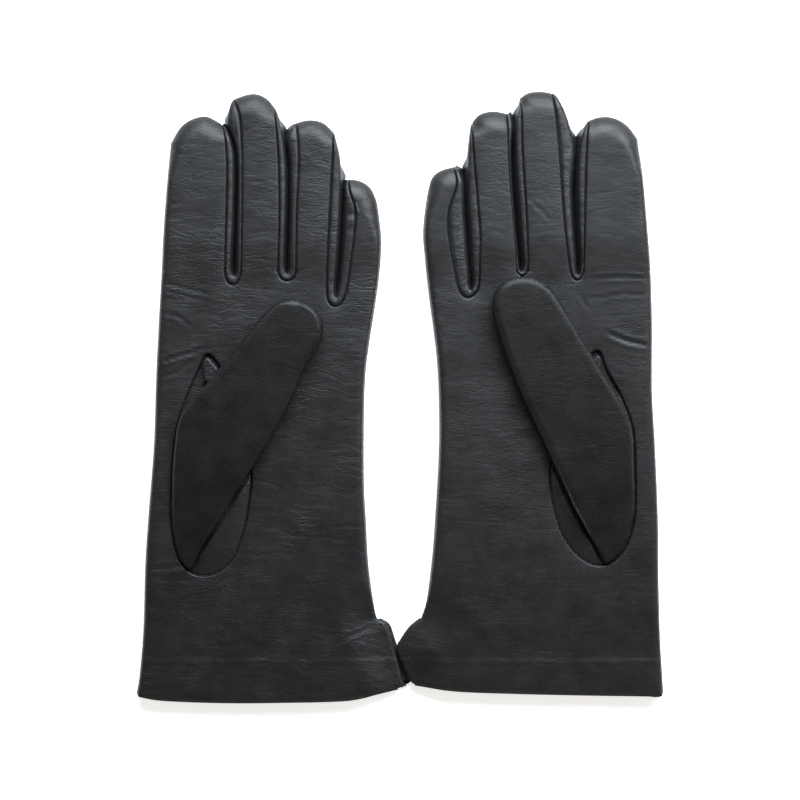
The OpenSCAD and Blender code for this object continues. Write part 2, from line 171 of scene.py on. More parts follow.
def face_outlines(node, top=True, flip=False):
    """Outlines of a node's top or bottom face in millimetres, the longest first, anticlockwise outside."""
    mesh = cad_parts[node].data
    points = np.array([v.co for v in mesh.vertices]) / MM
    level = points[:, 2].max() if top else points[:, 2].min()
    names, number = {}, []
    for p in points:
        number.append(names.setdefault((round(p[0], 3), round(p[1], 3), round(p[2], 3)), len(names)))
    steps = set()
    for polygon in mesh.polygons:
        corners = list(polygon.vertices)
        if all(abs(points[c][2] - level) < 0.02 for c in corners):
            ring = [number[c] for c in corners]
            steps.update(zip(ring, ring[1:] + ring[:1]))
    border = {a: b for a, b in steps if (b, a) not in steps}
    places, outlines = list(names), []
    while border:
        at, ring = min(border), []
        while at in border:
            ring.append(places[at][:2])
            at = border.pop(at)
        outlines.append(np.array(ring))
    mirror = flip != (not top)
    outlines = [o[::-1] if mirror else o for o in outlines]
    if flip:
        outlines = [o * (-1, 1) for o in outlines]
    return sorted(outlines, key=len, reverse=True)


def grown(outline, distance):
    """A closed anticlockwise outline moved outwards."""
    step = unit(np.roll(outline, -1, 0) - outline)
    normal = np.stack([step[:, 1], -step[:, 0]], 1)
    before = np.roll(normal, 1, 0)
    scale = np.maximum(0.4, 1 + np.sum(normal * before, 1))[:, None]
    return outline + distance * (normal + before) / scale


def crease_steps(outline, least=5.0):
    """Steps of an outline that run level, where a finger and the hand part."""
    step = np.roll(outline, -1, 0) - outline
    level = (np.abs(step[:, 1]) < 0.06 * np.abs(step[:, 0])) & (outline[:, 1] > 0)
    level &= np.abs(step[:, 0]) > least
    return [int(i) for i in np.nonzero(level)[0]]


def with_fingers(hand, fingers):
    """The hand's outline with each finger's let in at its crease, and what each step is part of."""
    points, parts, joins = [], [], []
    creases = set(crease_steps(hand))
    for i, p in enumerate(hand):
        points.append(p)
        parts.append("hand")
        if i not in creases:
            continue
        q = hand[(i + 1) % len(hand)]
        name = min(fingers, key=lambda f: abs(fingers[f][:, 0].mean() - (p[0] + q[0]) / 2))
        finger = fingers[name]
        base = min(crease_steps(finger), key=lambda k: finger[k][1])
        for k in range(1, len(finger) + 1):
            points.append(finger[(base + k) % len(finger)])
            parts.append(name)
        parts[-1] = "hand"
        level = (p[1] + finger[base][1]) / 2
        joins += [(p[0], level), (q[0], level)]
    points = np.array(points)
    clear = np.ones(len(points), bool)
    for x, y in joins:      # the ends of the walls stick out here, so the line runs straight past them
        clear &= ~((np.abs(points[:, 0] - x) < 2.6) & (np.abs(points[:, 1] - y) < 0.8))
    return points[clear], [part for part, keep in zip(parts, clear) if keep]


def without_short_runs(points, kinds, least=2.6):
    """Labels with each stretch shorter than least given its neighbour's label."""
    kinds, n = list(kinds), len(kinds)
    length = np.linalg.norm(np.roll(points, -1, 0) - points, axis=1)
    start = next(i for i in range(n) if kinds[i] != kinds[i - 1])
    order = [(start + k) % n for k in range(n)]
    runs_found, run = [], [order[0]]
    for i in order[1:]:
        if kinds[i] == kinds[run[-1]]:
            run.append(i)
        else:
            runs_found.append(run)
            run = [i]
    runs_found.append(run)
    for number, run in enumerate(runs_found):
        if sum(length[i] for i in run) < least:
            before = kinds[runs_found[number - 1][-1]]
            for i in run:
                kinds[i] = before
    return kinds


class Outline:
    """A closed anticlockwise line in millimetres, each step of it labelled with what kind of edge it is."""

    def __init__(self, points, kinds, holes=()):
        self.points, self.kinds = points, np.array(kinds)
        self.trees = {}
        self.loops = [points] + [h for h, _ in holes]
        self.starts = np.concatenate(self.loops)
        self.ends = np.concatenate([np.roll(l, -1, 0) for l in self.loops])
        self.labels = np.concatenate([self.kinds] + [np.array([k] * len(h)) for h, k in holes])

    def distance(self, p, *kinds):
        """Distance from each point to the nearest step of those kinds, or of any kind."""
        if kinds not in self.trees:
            use = np.isin(self.labels, kinds) if kinds else np.ones(len(self.labels), bool)
            a, b = self.starts[use], self.ends[use]
            posts = np.concatenate([np.insert(q, 2, z, axis=1) for z in (-1, 1) for q in (a, b)])
            n = len(a)
            walls = [(k, k + n, k + 3 * n, k + 2 * n) for k in range(n)]
            self.trees[kinds] = BVHTree.FromPolygons(posts.tolist(), walls) if n else None
        tree = self.trees[kinds]
        if tree is None:
            return np.full(len(p), FAR)
        return np.array([tree.find_nearest((x, y, 0.0))[3] for x, y in p])

    def holds(self, p):
        """Which points are inside the line and outside its holes."""
        inside = np.zeros(len(p), bool)
        for a, b in zip(self.starts, self.ends):
            if a[1] == b[1]:
                continue
            crossing = (a[1] > p[:, 1]) != (b[1] > p[:, 1])
            x = a[0] + (p[:, 1] - a[1]) * (b[0] - a[0]) / (b[1] - a[1])
            inside ^= crossing & (p[:, 0] < x)
        return inside


def rounded(points, kinds, spacing, corner=38):
    """A smooth line through the points, with its real corners kept sharp."""
    n = len(points)
    step = np.roll(points, -1, 0) - points
    length = np.maximum(np.linalg.norm(step, axis=1), 1e-6)
    slope = step / length[:, None]
    before, before_length = np.roll(slope, 1, 0), np.roll(length, 1)
    blend = (slope * before_length[:, None] + before * length[:, None]) / (length + before_length)[:, None]
    sharp = np.sum(slope * before, 1) < math.cos(math.radians(corner))
    leaving = np.where(sharp[:, None], slope, blend)
    arriving = np.where(sharp[:, None], before, blend)
    out, labels = [], []
    for i in range(n):
        j, h = (i + 1) % n, length[i]
        count = max(1, int(round(h / spacing)))
        for k in range(count):
            t = k / count
            out.append((2 * t ** 3 - 3 * t ** 2 + 1) * points[i] + (t ** 3 - 2 * t ** 2 + t) * h * leaving[i]
                       + (3 * t ** 2 - 2 * t ** 3) * points[j] + (t ** 3 - t ** 2) * h * arriving[j])
            labels.append(kinds[i])
    return np.array(out), labels


def with_level(points, kinds, y, left, right):
    """The line with a point added wherever it crosses the level y between left and right."""
    out, labels = [], []
    for i, a in enumerate(points):
        b = points[(i + 1) % len(points)]
        out.append(a)
        labels.append(kinds[i])
        if (a[1] - y) * (b[1] - y) < 0:
            x = a[0] + (y - a[1]) * (b[0] - a[0]) / (b[1] - a[1])
            if left < x < right:
                out.append(np.array([x, y]))
                labels.append(kinds[i])
    return np.array(out), labels


# ---------------------------------------------------------------- one glove's pattern

class Pattern:
    """Outlines and heights of one glove, in millimetres, seen with the thumb at the left."""

    def __init__(self, side):
        self.side = side
        self.flip = side == "right"
        self.look = settings()
        self.vent_top = self.box("side_seam")[0][1]
        self.split = {f: self.box(f + "_leather")[0][1] - SPLIT_BELOW for f in FINGERS}
        self.silhouette = self.outer_line()
        self.palm = self.face(True)
        self.back = self.face(False)
        self.crown = CrownField(self.palm)

    def loops(self, part, top=True):
        return face_outlines(f"{self.side}_{part}", top, self.flip)

    def box(self, part):
        low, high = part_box(f"{self.side}_{part}")
        sign = -1 if self.flip else 1
        left, right = sorted((sign * low.x / MM, sign * high.x / MM))
        return np.array([left, low.y / MM]), np.array([right, high.y / MM])

    def at(self, part, across, along):
        """A place on a part, as shares of its width and length."""
        low, high = self.box(part)
        return low + (high - low) * (across, along)

    def outer_line(self):
        """The outline with the finger strips' outer edges, which the lining follows inside."""
        wall = self.box("index_lining")[0][0] - self.box("index_leather")[0][0]
        fingers = {f: self.loops(f + "_lining")[0] for f in FINGERS}
        points, parts = with_fingers(self.loops("hand_lining")[0], fingers)
        points = grown(points, wall)
        points, parts = rounded(points, parts, 0.95)
        return Outline(points, parts)

    def kind(self, a, b, part):
        """What an edge is: sewn to a strip, folded, the side seam, the vent or the cuff."""
        middle = (a + b) / 2
        if middle[1] > 0 and self.silhouette.distance(middle[None])[0] > 0.16:
            return "sewn"
        low, high = self.box("trank")
        outside = part != "hand" or middle[0] < (low[0] + high[0]) / 2
        steep = abs(b[1] - a[1]) > 0.5 * abs(b[0] - a[0])
        if middle[1] > self.vent_top:
            return "fold" if outside else "side"
        if not steep:
            return "cuff"
        return "fold" if outside else "vent"

    def face(self, top):
        """The palm's or the back's whole outline, fingers included."""
        hand = self.loops("trank", top)
        fingers = {f: self.loops(f + "_leather", top)[0] for f in FINGERS}
        points, parts = with_fingers(hand[0], fingers)
        kinds = [self.kind(a, b, part) for a, b, part in zip(points, np.roll(points, -1, 0), parts)]
        points, kinds = rounded(points, without_short_runs(points, kinds), 0.95)
        for f in FINGERS:
            low, high = self.box(f + "_leather")
            points, kinds = with_level(points, kinds, self.split[f], low[0] - 3, high[0] + 3)
        holes = [(rounded(h, ["set_in"] * len(h), 0.95)[0], "set_in") for h in hand[1:]]
        return Outline(points, kinds, holes)

    def cuts(self, outline):
        """Level lines across each finger, where the hand's leather stops being part of the palm."""
        lines = []
        for f in FINGERS:
            low, high = self.box(f + "_leather")
            on = np.abs(outline.points[:, 1] - self.split[f]) < 1e-9
            x = sorted(outline.points[on][:, 0])
            x = [v for v in x if low[0] - 3 < v < high[0] + 3]
            lines.append((self.split[f], x[0], x[-1]))
        return lines

    def slits(self):
        """The sewn edges between fingers, from the index finger's on: numbers of the palm's points."""
        return sorted(runs(self.palm.kinds, "sewn"), key=lambda run: self.palm.points[run].mean(0)[0])

    # heights

    def plateau(self, p, outline):
        """Height of the palm's face away from its edges."""
        look, y = self.look, p[:, 1]
        low = self.box("trank")[0]
        knuckles = self.split["index"]
        h = look.cuff_height + (look.palm_height - look.cuff_height) * rising(y, low[1], low[1] + 75)
        h += (look.finger_height - look.palm_height) * rising(y, knuckles - 8, knuckles + 14)
        return h - 2.6 * (1 - rising(outline.distance(p, "vent"), 0, 16))

    def relief(self, p, seed=1):
        """Lumps and small wrinkles of worn leather."""
        x, y = p[:, 0], p[:, 1]
        lumps = 0.22 * lattice_noise(x / 34, y / 41, seed) + 0.10 * lattice_noise(x / 13, y / 11, seed + 1)
        across = x + 3 * lattice_noise(x / 9, y / 7, seed + 2)
        along = y + 1.2 * lattice_noise(x / 8, y / 5, seed + 3)
        patches = rising(lattice_noise(x / 22, y / 17, seed + 4), -0.35, 0.45)
        fine = lattice_noise(across / 6.5, along / 1.45, seed + 5)
        fine = fine + 0.5 * lattice_noise(across / 3.3, along / 0.9, seed + 6)
        return lumps + self.look.wrinkle * patches * fine

    def tip(self, p):
        """1 in a fingertip, 0 elsewhere."""
        share = np.zeros(len(p))
        for f in FINGERS:
            low, high = self.box(f + "_leather")
            near = rising(p[:, 1], high[1] - 26, high[1] - 3)
            share = np.maximum(share, near * ((p[:, 0] > low[0] - 3.2) & (p[:, 0] < high[0] + 3.2)))
        return share

    def palm_z(self, p, line):
        """Height of the palm's face over each point."""
        look = self.look
        edge = line.distance(p, "fold", "side")
        sewn = line.distance(p, "sewn", "set_in")
        middle = self.edge_z(p)
        high = self.plateau(p, line) * (0.93 + 0.07 * self.crown.at(p)) + self.relief(p)
        z = middle + (high - middle) * turned_over(edge, look.fold_radius + TIP_ROUND * self.tip(p))
        dip = look.seam_depth * (1 - np.clip(sewn / look.seam_roll, 0, 1)) ** 2.4
        dip += 1.0 * (1 - np.clip(sewn / 0.34, 0, 1)) ** 2
        dip += 0.35 * (1 - np.clip(line.distance(p, "vent", "cuff") / 1.2, 0, 1)) ** 2
        vent = line.distance(p, "vent")
        dip += 0.16 * sum(np.exp(-((vent - row) / 0.3) ** 2) for row in VENT_ROWS)
        dip -= self.hem_ridge(p)
        return z + (self.creased(p) - dip) * turned_over(edge, 2.5)

    def hem_ridge(self, p):
        """The turned-in hem shows through the leather as a low step."""
        top = self.box("hem")[1][1]
        y = p[:, 1] - 0.4 * lattice_noise(p[:, 0] / 15, p[:, 1] * 0, 21)
        return 0.13 * (1 - rising(y, top - 0.8, top + 0.6)) + 0.10 * np.exp(-((y - top + 0.6) / 0.8) ** 2)

    def back_z(self, p, line):
        """Height of the back's face, which lies on the table."""
        edge = line.distance(p, "fold", "side")
        sewn = line.distance(p, "sewn")
        middle = self.edge_z(p)
        z = 0.15 + 0.08 * (1 + lattice_noise(p[:, 0] / 21, p[:, 1] / 26, 40))
        z = middle + (z - middle) * turned_over(edge, self.look.fold_radius * 0.9)
        lift = 1.0 * (1 - np.clip(sewn / self.look.seam_roll, 0, 1)) ** 2.4
        lift += 0.9 * (1 - np.clip(sewn / 0.55, 0, 1)) ** 2
        return z + (lift + self.pointed(p)) * turned_over(edge, 2.5)

    def pointed(self, p):
        """Three rows of raised sewing down the back of the hand."""
        z = np.zeros(len(p))
        low, high = self.box("trank")
        for across in (0.30, 0.50, 0.69):
            x = low[0] + (high[0] - low[0]) * across + 0.03 * (p[:, 1] - high[1])
            along = rising(p[:, 1], low[1] + 62, low[1] + 66)
            along = along * (1 - rising(p[:, 1], high[1] - 14, high[1] - 10))
            gap = np.abs(p[:, 0] - x)
            z += along * (0.45 * np.exp(-((gap - 1.0) / 0.5) ** 2) - 0.1 * np.exp(-(gap / 0.4) ** 2))
        return z

    def edge_z(self, p):
        """Height at which the palm's and the back's faces meet on a folded edge."""
        return 4.1 + 0.25 * lattice_noise(p[:, 1] / 30, p[:, 0] * 0 + 0.5, 12)

    def creased(self, p):
        """Creases pressed into the palm's face."""
        z = np.zeros(len(p))
        for part, path, depth, width in CREASES[self.side]:
            line = np.array([self.at(part, *place) for place in path])
            z += depth * crease_profile(p, line, width)
        return z


def crease_profile(p, line, width):
    """A valley with raised shoulders along a line, fading out at both ends: -1 in the valley."""
    a, b = line[:-1], line[1:]
    along = b - a
    length = np.linalg.norm(along, axis=1)
    offsets = np.concatenate([[0], np.cumsum(length)[:-1]])
    q = p[:, None] - a
    t = np.clip(np.sum(q * along, 2) / length ** 2, 0, 1)
    gap = np.linalg.norm(q - t[..., None] * along, axis=2)
    best = np.argmin(gap, 1)
    rows = np.arange(len(p))
    distance = gap[rows, best] / width
    travelled = (offsets[best] + t[rows, best] * length[best]) / length.sum()
    fade = np.sin(np.pi * np.clip(travelled, 0, 1)) ** 0.6
    return -(1 - 2 * distance ** 2) * np.exp(-distance ** 2) * fade


# Creases of each glove: part, places as shares of its width and length, depth and width in millimetres
CREASES = {
    "left": [
        ("index_leather", [(0.06, 0.84), (0.30, 0.79), (0.62, 0.80)], 0.30, 0.8),
        ("index_leather", [(0.12, 0.76), (0.34, 0.72), (0.56, 0.74)], 0.20, 0.8),
        ("index_leather", [(0.04, 0.42), (0.20, 0.38), (0.36, 0.40)], 0.28, 0.9),
        ("trank", [(0.02, 0.965), (0.12, 0.95), (0.28, 0.925)], 0.34, 0.9),
        ("trank", [(0.04, 0.945), (0.15, 0.93), (0.30, 0.905)], 0.26, 0.8),
        ("trank", [(0.07, 0.885), (0.15, 0.88), (0.21, 0.85)], 0.26, 1.0),
        ("trank", [(0.03, 0.756), (0.12, 0.779), (0.26, 0.806)], 0.55, 0.9),
        ("trank", [(0.08, 0.735), (0.15, 0.750), (0.23, 0.785)], 0.26, 1.0),
        ("trank", [(0.04, 0.302), (0.12, 0.306), (0.19, 0.312)], 0.32, 1.2),
        ("middle_leather", [(0.05, 0.50), (0.45, 0.47), (0.95, 0.43)], 0.18, 0.9),
        ("ring_leather", [(0.08, 0.86), (0.25, 0.85), (0.45, 0.87)], 0.16, 0.7),
        ("ring_leather", [(0.15, 0.78), (0.28, 0.70), (0.36, 0.66)], 0.14, 0.8),
        ("trank", [(0.72, 0.132), (0.80, 0.155), (0.872, 0.176)], 0.30, 1.0),
        ("little_leather", [(0.11, 0.795), (0.30, 0.745), (0.35, 0.66), (0.24, 0.58)], 0.50, 0.55),
        ("little_leather", [(0.20, 0.70), (0.24, 0.64), (0.17, 0.56)], 0.30, 0.45),
    ],
    "right": [
        ("middle_leather", [(0.35, 0.22), (0.60, 0.30), (0.88, 0.37)], 0.24, 0.9),
        ("trank", [(0.04, 0.962), (0.16, 0.965), (0.29, 0.962)], 0.36, 0.9),
        ("trank", [(0.04, 0.922), (0.15, 0.928), (0.30, 0.915)], 0.26, 0.9),
        ("trank", [(0.06, 0.808), (0.14, 0.818), (0.22, 0.838)], 0.60, 1.2),
        ("trank", [(0.32, 0.930), (0.30, 0.905), (0.27, 0.885)], 0.22, 0.8),
        ("ring_leather", [(0.22, 0.16), (0.55, 0.20), (0.85, 0.12)], 0.16, 0.9),
        ("trank", [(0.10, 0.605), (0.14, 0.595), (0.17, 0.60)], 0.30, 1.1),
    ],
}


class CrownField:
    """How far each place is from all edges, from 0 at an edge to 1 in open leather, without ridges."""

    def __init__(self, outline, cell=0.8, reach=6.0, rounds=260):
        low, high = outline.starts.min(0) - 2, outline.starts.max(0) + 2
        self.low, self.cell = low, cell
        nx, ny = (np.ceil((high - low) / cell)).astype(int)
        x, y = np.meshgrid(low[0] + cell * np.arange(nx), low[1] + cell * np.arange(ny))
        inside = outline.holds(np.stack([x.ravel(), y.ravel()], 1)).reshape(x.shape)
        k = (reach / cell) ** 2
        u = np.zeros(x.shape)
        for _ in range(rounds):
            around = u[:-2, 1:-1] + u[2:, 1:-1] + u[1:-1, :-2] + u[1:-1, 2:]
            u[1:-1, 1:-1] = np.where(inside[1:-1, 1:-1], (1 + k * around) / (1 + 4 * k), 0)
        self.u = u

    def at(self, p):
        g = (p - self.low) / self.cell
        i = np.clip(np.floor(g).astype(int), 0, np.array(self.u.shape)[::-1] - 2)
        f = np.clip(g - i, 0, 1)
        u, x, y = self.u, i[:, 0], i[:, 1]
        low = u[y, x] * (1 - f[:, 0]) + u[y, x + 1] * f[:, 0]
        high = u[y + 1, x] * (1 - f[:, 0]) + u[y + 1, x + 1] * f[:, 0]
        return low * (1 - f[:, 1]) + high * f[:, 1]


# ---------------------------------------------------------------- meshes

EDGE_ROWS = (0.08, 0.22, 0.42, 0.7, 1.1, 1.6, 2.3, 3.1)


def packed(faces):
    """Numbers of the points that triangles use, and the triangles renumbered to match."""
    used, faces = np.unique(faces, return_inverse=True)
    return used, faces.reshape(-1, 3)


def triangulated(outline, step, cuts=()):
    """Points and triangles that fill an outline, closer along its edges. Cuts are level lines kept whole."""
    points, links = [], []
    for loop in outline.loops:
        first = len(points)
        points.extend(loop)
        links.extend((first + i, first + (i + 1) % len(loop)) for i in range(len(loop)))
    rows = []
    for loop in outline.loops:
        slope = unit(np.roll(loop, -1, 0) - np.roll(loop, 1, 0))
        inward = np.stack([-slope[:, 1], slope[:, 0]], 1)
        for row in EDGE_ROWS:
            if row > 2.6 * step:
                break
            every = 1 if row < 1.5 else 2
            candidate = (loop + inward * row)[::every]
            candidate = candidate[outline.holds(candidate)]
            rows.append(candidate[outline.distance(candidate) > 0.93 * row])
    last = max(r for r in EDGE_ROWS if r <= 2.6 * step)
    low, high = outline.starts.min(0), outline.starts.max(0)
    nx, ny = int((high[0] - low[0]) / step) + 2, int((high[1] - low[1]) / (step * 0.866)) + 2
    gx, gy = np.meshgrid(np.arange(nx), np.arange(ny))
    grid = np.stack([low[0] + step * (gx + 0.5 * (gy % 2)), low[1] + step * 0.866 * gy], 2).reshape(-1, 2)
    grid = grid[outline.holds(grid)]
    rows.append(grid[outline.distance(grid) > last + 0.45 * step])
    loose = np.concatenate(rows)
    for y, x0, x1 in cuts:
        near = (np.abs(loose[:, 1] - y) < 0.3 * step) & (loose[:, 0] > x0 - 1) & (loose[:, 0] < x1 + 1)
        loose = loose[~near]
    points.extend(loose)
    for y, x0, x1 in cuts:
        count = max(2, int((x1 - x0) / (0.8 * step)))
        first = len(points)
        points.extend(np.array([x0 + (x1 - x0) * k / count, y]) for k in range(count + 1))
        links.extend((first + k, first + k + 1) for k in range(count))
    made = geometry.delaunay_2d_cdt([Vector(p) for p in points], links, [], 0, 1e-5, False)
    places = np.array([tuple(v) for v in made[0]])
    faces = np.array([f for f in made[2]])
    keep = outline.holds(places[faces].mean(1))
    corners = places[faces]
    size = np.abs(np.cross(corners[:, 1] - corners[:, 0], corners[:, 2] - corners[:, 0]))
    used, faces = packed(faces[keep & (size > 1e-7)])
    return places[used], faces


def welded(vertices, faces, merge, reach=0.004):
    """Points that coincide made one, where merge allows it."""
    seen, lookup = {}, np.arange(len(vertices))
    for i in np.nonzero(merge)[0]:
        key = tuple(np.round(vertices[i] / reach / 5).astype(int))
        lookup[i] = seen.setdefault(key, i)
    used, faces = packed(lookup[faces])
    good = (faces[:, 0] != faces[:, 1]) & (faces[:, 1] != faces[:, 2]) & (faces[:, 0] != faces[:, 2])
    return vertices[used], faces[good]


def joined(parts):
    """Several (points, triangles) pairs as one."""
    first = np.cumsum([0] + [len(v) for v, _ in parts])
    return np.concatenate([v for v, _ in parts]), np.concatenate([f + n for (_, f), n in zip(parts, first)])


def vertex_normals(vertices, faces):
    corners = vertices[faces]
    flat = np.cross(corners[:, 1] - corners[:, 0], corners[:, 2] - corners[:, 0])
    normals = np.zeros_like(vertices)
    for k in range(3):
        np.add.at(normals, faces[:, k], flat)
    return unit(normals)


def grid_faces(rows, columns, closed=False):
    """Triangles of a sheet of points laid out row by row."""
    out = []
    for r in range(rows - 1):
        for c in range(columns if closed else columns - 1):
            a, b = r * columns + c, r * columns + (c + 1) % columns
            d, e = a + columns, b + columns
            out += [(a, b, e), (a, e, d)]
    return np.array(out)


def put_object(pattern, name, vertices, faces, material, normals=None):
    """A smooth mesh object of one glove, from points in millimetres seen with the thumb at the left."""
    mirror = np.array((-1, 1, 1) if pattern.flip else (1, 1, 1))
    v, f = vertices * mirror * MM, faces[:, ::-1] if pattern.flip else faces
    name = f"{pattern.side}_{name}"
    mesh = bpy.data.meshes.new(name)
    mesh.from_pydata(v.tolist(), [], f.tolist())
    mesh.polygons.foreach_set("use_smooth", [True] * len(mesh.polygons))
    place = mesh.attributes.new(REST, "FLOAT_VECTOR", "POINT")
    place.data.foreach_set("vector", v.astype(np.float32).ravel())
    mesh.materials.append(material)
    mesh.update()
    if normals is not None:
        mesh.normals_split_custom_set_from_vertices((normals * mirror).tolist())
    made_object = bpy.data.objects.new(name, mesh)
    bpy.context.scene.collection.objects.link(made_object)
    return made_object


def add_piece(pattern, name, shape, material, part, cad, slot, normals=None):
    """A piece with its finish, joined to the body that it is part of unless it is a finger's; the CAD node
    that it stands for is hidden.
    """
    piece = put_object(pattern, name, *shape, material, normals)
    palm = pattern.side + "_palm"
    if part in FINGERS:
        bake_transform(piece)
    else:
        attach(piece, pattern.side + "_thumb" if part == "thumb" else palm)
    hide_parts(f"{pattern.side}_{cad}")


def sheet_piece(pattern, name, sheets, *details):
    """One piece from several sheets of points, each an array of rows."""
    shape = joined([(sheet.reshape(-1, 3), grid_faces(*sheet.shape[:2])) for sheet in sheets])
    add_piece(pattern, name, shape, *details)


def pillow(pattern, name, line, step, top, bottom, *details):
    """A closed piece between two heights that meet on its outline."""
    flat, faces = triangulated(line, step)
    rim = line.distance(flat) < 1e-6
    v = np.concatenate([np.column_stack([flat, top(flat)]), np.column_stack([flat, bottom(flat)])])
    f = np.concatenate([faces, faces[:, ::-1] + len(flat)])
    v[len(flat):][rim, 2] = v[:len(flat)][rim, 2]
    v, f = welded(v, f, np.concatenate([rim, rim]))
    add_piece(pattern, name, (v, f), *details, vertex_normals(v, f))


def moved_line(pattern, part, spacing, distance, corner=38):
    """A part's smoothed outline moved outwards, or inwards where the distance is below 0."""
    loop = pattern.loops(part)[0]
    points, kinds = rounded(loop, ["fold"] * len(loop), spacing, corner)
    return Outline(grown(points, distance), kinds)


# ---------------------------------------------------------------- the hand and the fingers' leather

def leather_faces(pattern, material):
    """The palm's and the back's leather as one sewn shell, cut where the fingers begin to bend."""
    step = pattern.look.grain_step
    flat, top = triangulated(pattern.palm, step, pattern.cuts(pattern.palm))
    under, bottom = triangulated(pattern.back, 1.7 * step, pattern.cuts(pattern.back))
    z_top = pattern.palm_z(flat, pattern.palm)
    z_under = pattern.back_z(under, pattern.back)
    v = np.concatenate([np.column_stack([flat, z_top]), np.column_stack([under, z_under])])
    f = np.concatenate([top, bottom[:, ::-1] + len(flat)])
    on_edge = np.concatenate([pattern.palm.distance(flat, "fold", "side") < 1e-6,
                              pattern.back.distance(under, "fold", "side") < 1e-6])
    v, f = welded(v, f, on_edge)
    normals = vertex_normals(v, f)
    middle = v[f].mean(1)
    part = np.full(len(f), "hand", dtype=object)
    for finger in FINGERS:
        low, high = pattern.box(finger + "_leather")
        line = pattern.split[finger]
        on = (middle[:, 1] > line) & (middle[:, 0] > low[0] - 3) & (middle[:, 0] < high[0] + 3)
        part[on & (part == "hand")] = finger
    for name in ("hand",) + FINGERS:
        used, chosen = packed(f[part == name])
        cad = "trank" if name == "hand" else name + "_leather"
        add_piece(pattern, name + "_face", (v[used], chosen), material, name, cad, "glove_leather",
                  normals[used])


# ---------------------------------------------------------------- strips between the fingers

def runs(labels, kind):
    """Stretches of a closed line that have a label, each as a list of point numbers."""
    n = len(labels)
    on = [label == kind for label in labels]
    start = next(i for i in range(n) if not on[i])
    out, run = [], []
    for k in range(1, n + 1):
        i = (start + k) % n
        if on[i]:
            run.append(i)
        elif run:
            out.append(run + [i])
            run = []
    return out


def stretch(line, first, last):
    """The points of a closed line from the one nearest to first on to the one nearest to last."""
    a = int(np.argmin(np.linalg.norm(line - first, axis=1)))
    b = int(np.argmin(np.linalg.norm(line - last, axis=1)))
    count = (b - a) % len(line)
    return np.array([line[(a + k) % len(line)] for k in range(count + 1)])


def spread(line, count):
    """The same open line with evenly spaced points."""
    travelled = np.concatenate([[0], np.cumsum(np.linalg.norm(np.diff(line, axis=0), axis=1))])
    at = np.linspace(0, travelled[-1], count)
    return np.column_stack([np.interp(at, travelled, line[:, k]) for k in range(line.shape[1])])


def paired(seam, edge):
    """Both lines with the same number of points, matched at their ends and down both sides of the slit."""
    level = max(seam[:, 1].min(), edge[:, 1].min()) + 6
    pairs = []
    low_s, low_e = int(np.argmin(seam[:, 1])), int(np.argmin(edge[:, 1]))

    def crossing(line, low, forward):
        order = range(low, len(line)) if forward else range(low, -1, -1)
        return next((i for i in order if line[i][1] > level), len(line) - 1 if forward else 0)

    marks_s = [0, crossing(seam, low_s, False), crossing(seam, low_s, True), len(seam) - 1]
    marks_e = [0, crossing(edge, low_e, False), crossing(edge, low_e, True), len(edge) - 1]
    for k in range(3):
        part_s, part_e = seam[marks_s[k]:marks_s[k + 1] + 1], edge[marks_e[k]:marks_e[k + 1] + 1]
        length = np.sum(np.linalg.norm(np.diff(part_s, axis=0), axis=1))
        count = max(4, int(length / 0.8))
        first = 0 if k == 0 else 1
        pairs.append((spread(part_s, count)[first:], spread(part_e, count)[first:]))
    return np.concatenate([p for p, _ in pairs]), np.concatenate([q for _, q in pairs])


def fill_to_middle(edge):
    """How far each point of a slit's edge moves out to touch the strip across it."""
    travelled = np.concatenate([[0], np.cumsum(np.linalg.norm(np.diff(edge, axis=0), axis=1))])
    gap = np.linalg.norm(edge[:, None] - edge, axis=2)
    gap[np.abs(travelled[:, None] - travelled) < 5] = FAR
    nearest = gap.min(1)
    push = np.clip(nearest / 2 + 0.3, 0, 2.4) * (1 - rising(nearest, 4.0, 5.2))
    kernel = np.ones(5) / 5
    return np.convolve(np.pad(push, 2, mode="edge"), kernel, mode="valid")


STRIP_ROWS = (0, 3, 6, 10, 15, 21, 28, 36, 45, 55, 66, 78, 90, 104, 118, 132, 146, 160, 171, 180)


def strip_sections(pattern, seam, edge):
    """Cross-sections of a strip from the palm's seam round its outer edge to the back's seam."""
    across = edge - seam
    slope = np.gradient(edge, axis=0)
    out = unit(np.column_stack([-slope[:, 1], slope[:, 0]]))
    out *= np.where(np.sum(out * across, 1) < 0, -1, 1)[:, None]
    fill = fill_to_middle(edge)[:, None]
    groove = pattern.palm_z(seam, pattern.palm)
    width = np.linalg.norm(across, axis=1)
    full = rising(width, 0.2, 1.6)
    top = groove + 1.2 * full
    low = pattern.back_z(seam, pattern.back)
    middle = pattern.edge_z(seam)
    sections = []
    for degrees in STRIP_ROWS:
        angle = math.radians(degrees)
        reach = abs(math.sin(angle)) ** 0.5
        rise = math.copysign(abs(math.cos(angle)) ** 0.4, math.cos(angle)) if degrees != 90 else 0.0
        reach = reach if degrees < 90 else max(reach, 0.97 if degrees < 150 else reach)
        place = seam + (edge + out * fill * smooth((degrees - 80) / 34) - seam) * reach
        if rise >= 0:
            z = middle + (top - middle) * rise
            z -= 1.2 * full * np.clip(1 - width * reach / 0.34, 0, 1) ** 2
            z += 0.10 * full * lattice_noise(place[:, 0] / 2.0, place[:, 1] / 2.6, 31)
        else:
            groove_under = (low - 0.4) * full * np.clip(1 - width * reach / 0.5, 0, 1) ** 2
            z = middle + (middle - 0.4) * rise + groove_under
            z = np.where(full > 0.5, z, np.maximum(z, middle + (middle - low) * rise))
        sections.append(np.column_stack([place, z]))
    return np.array(sections)


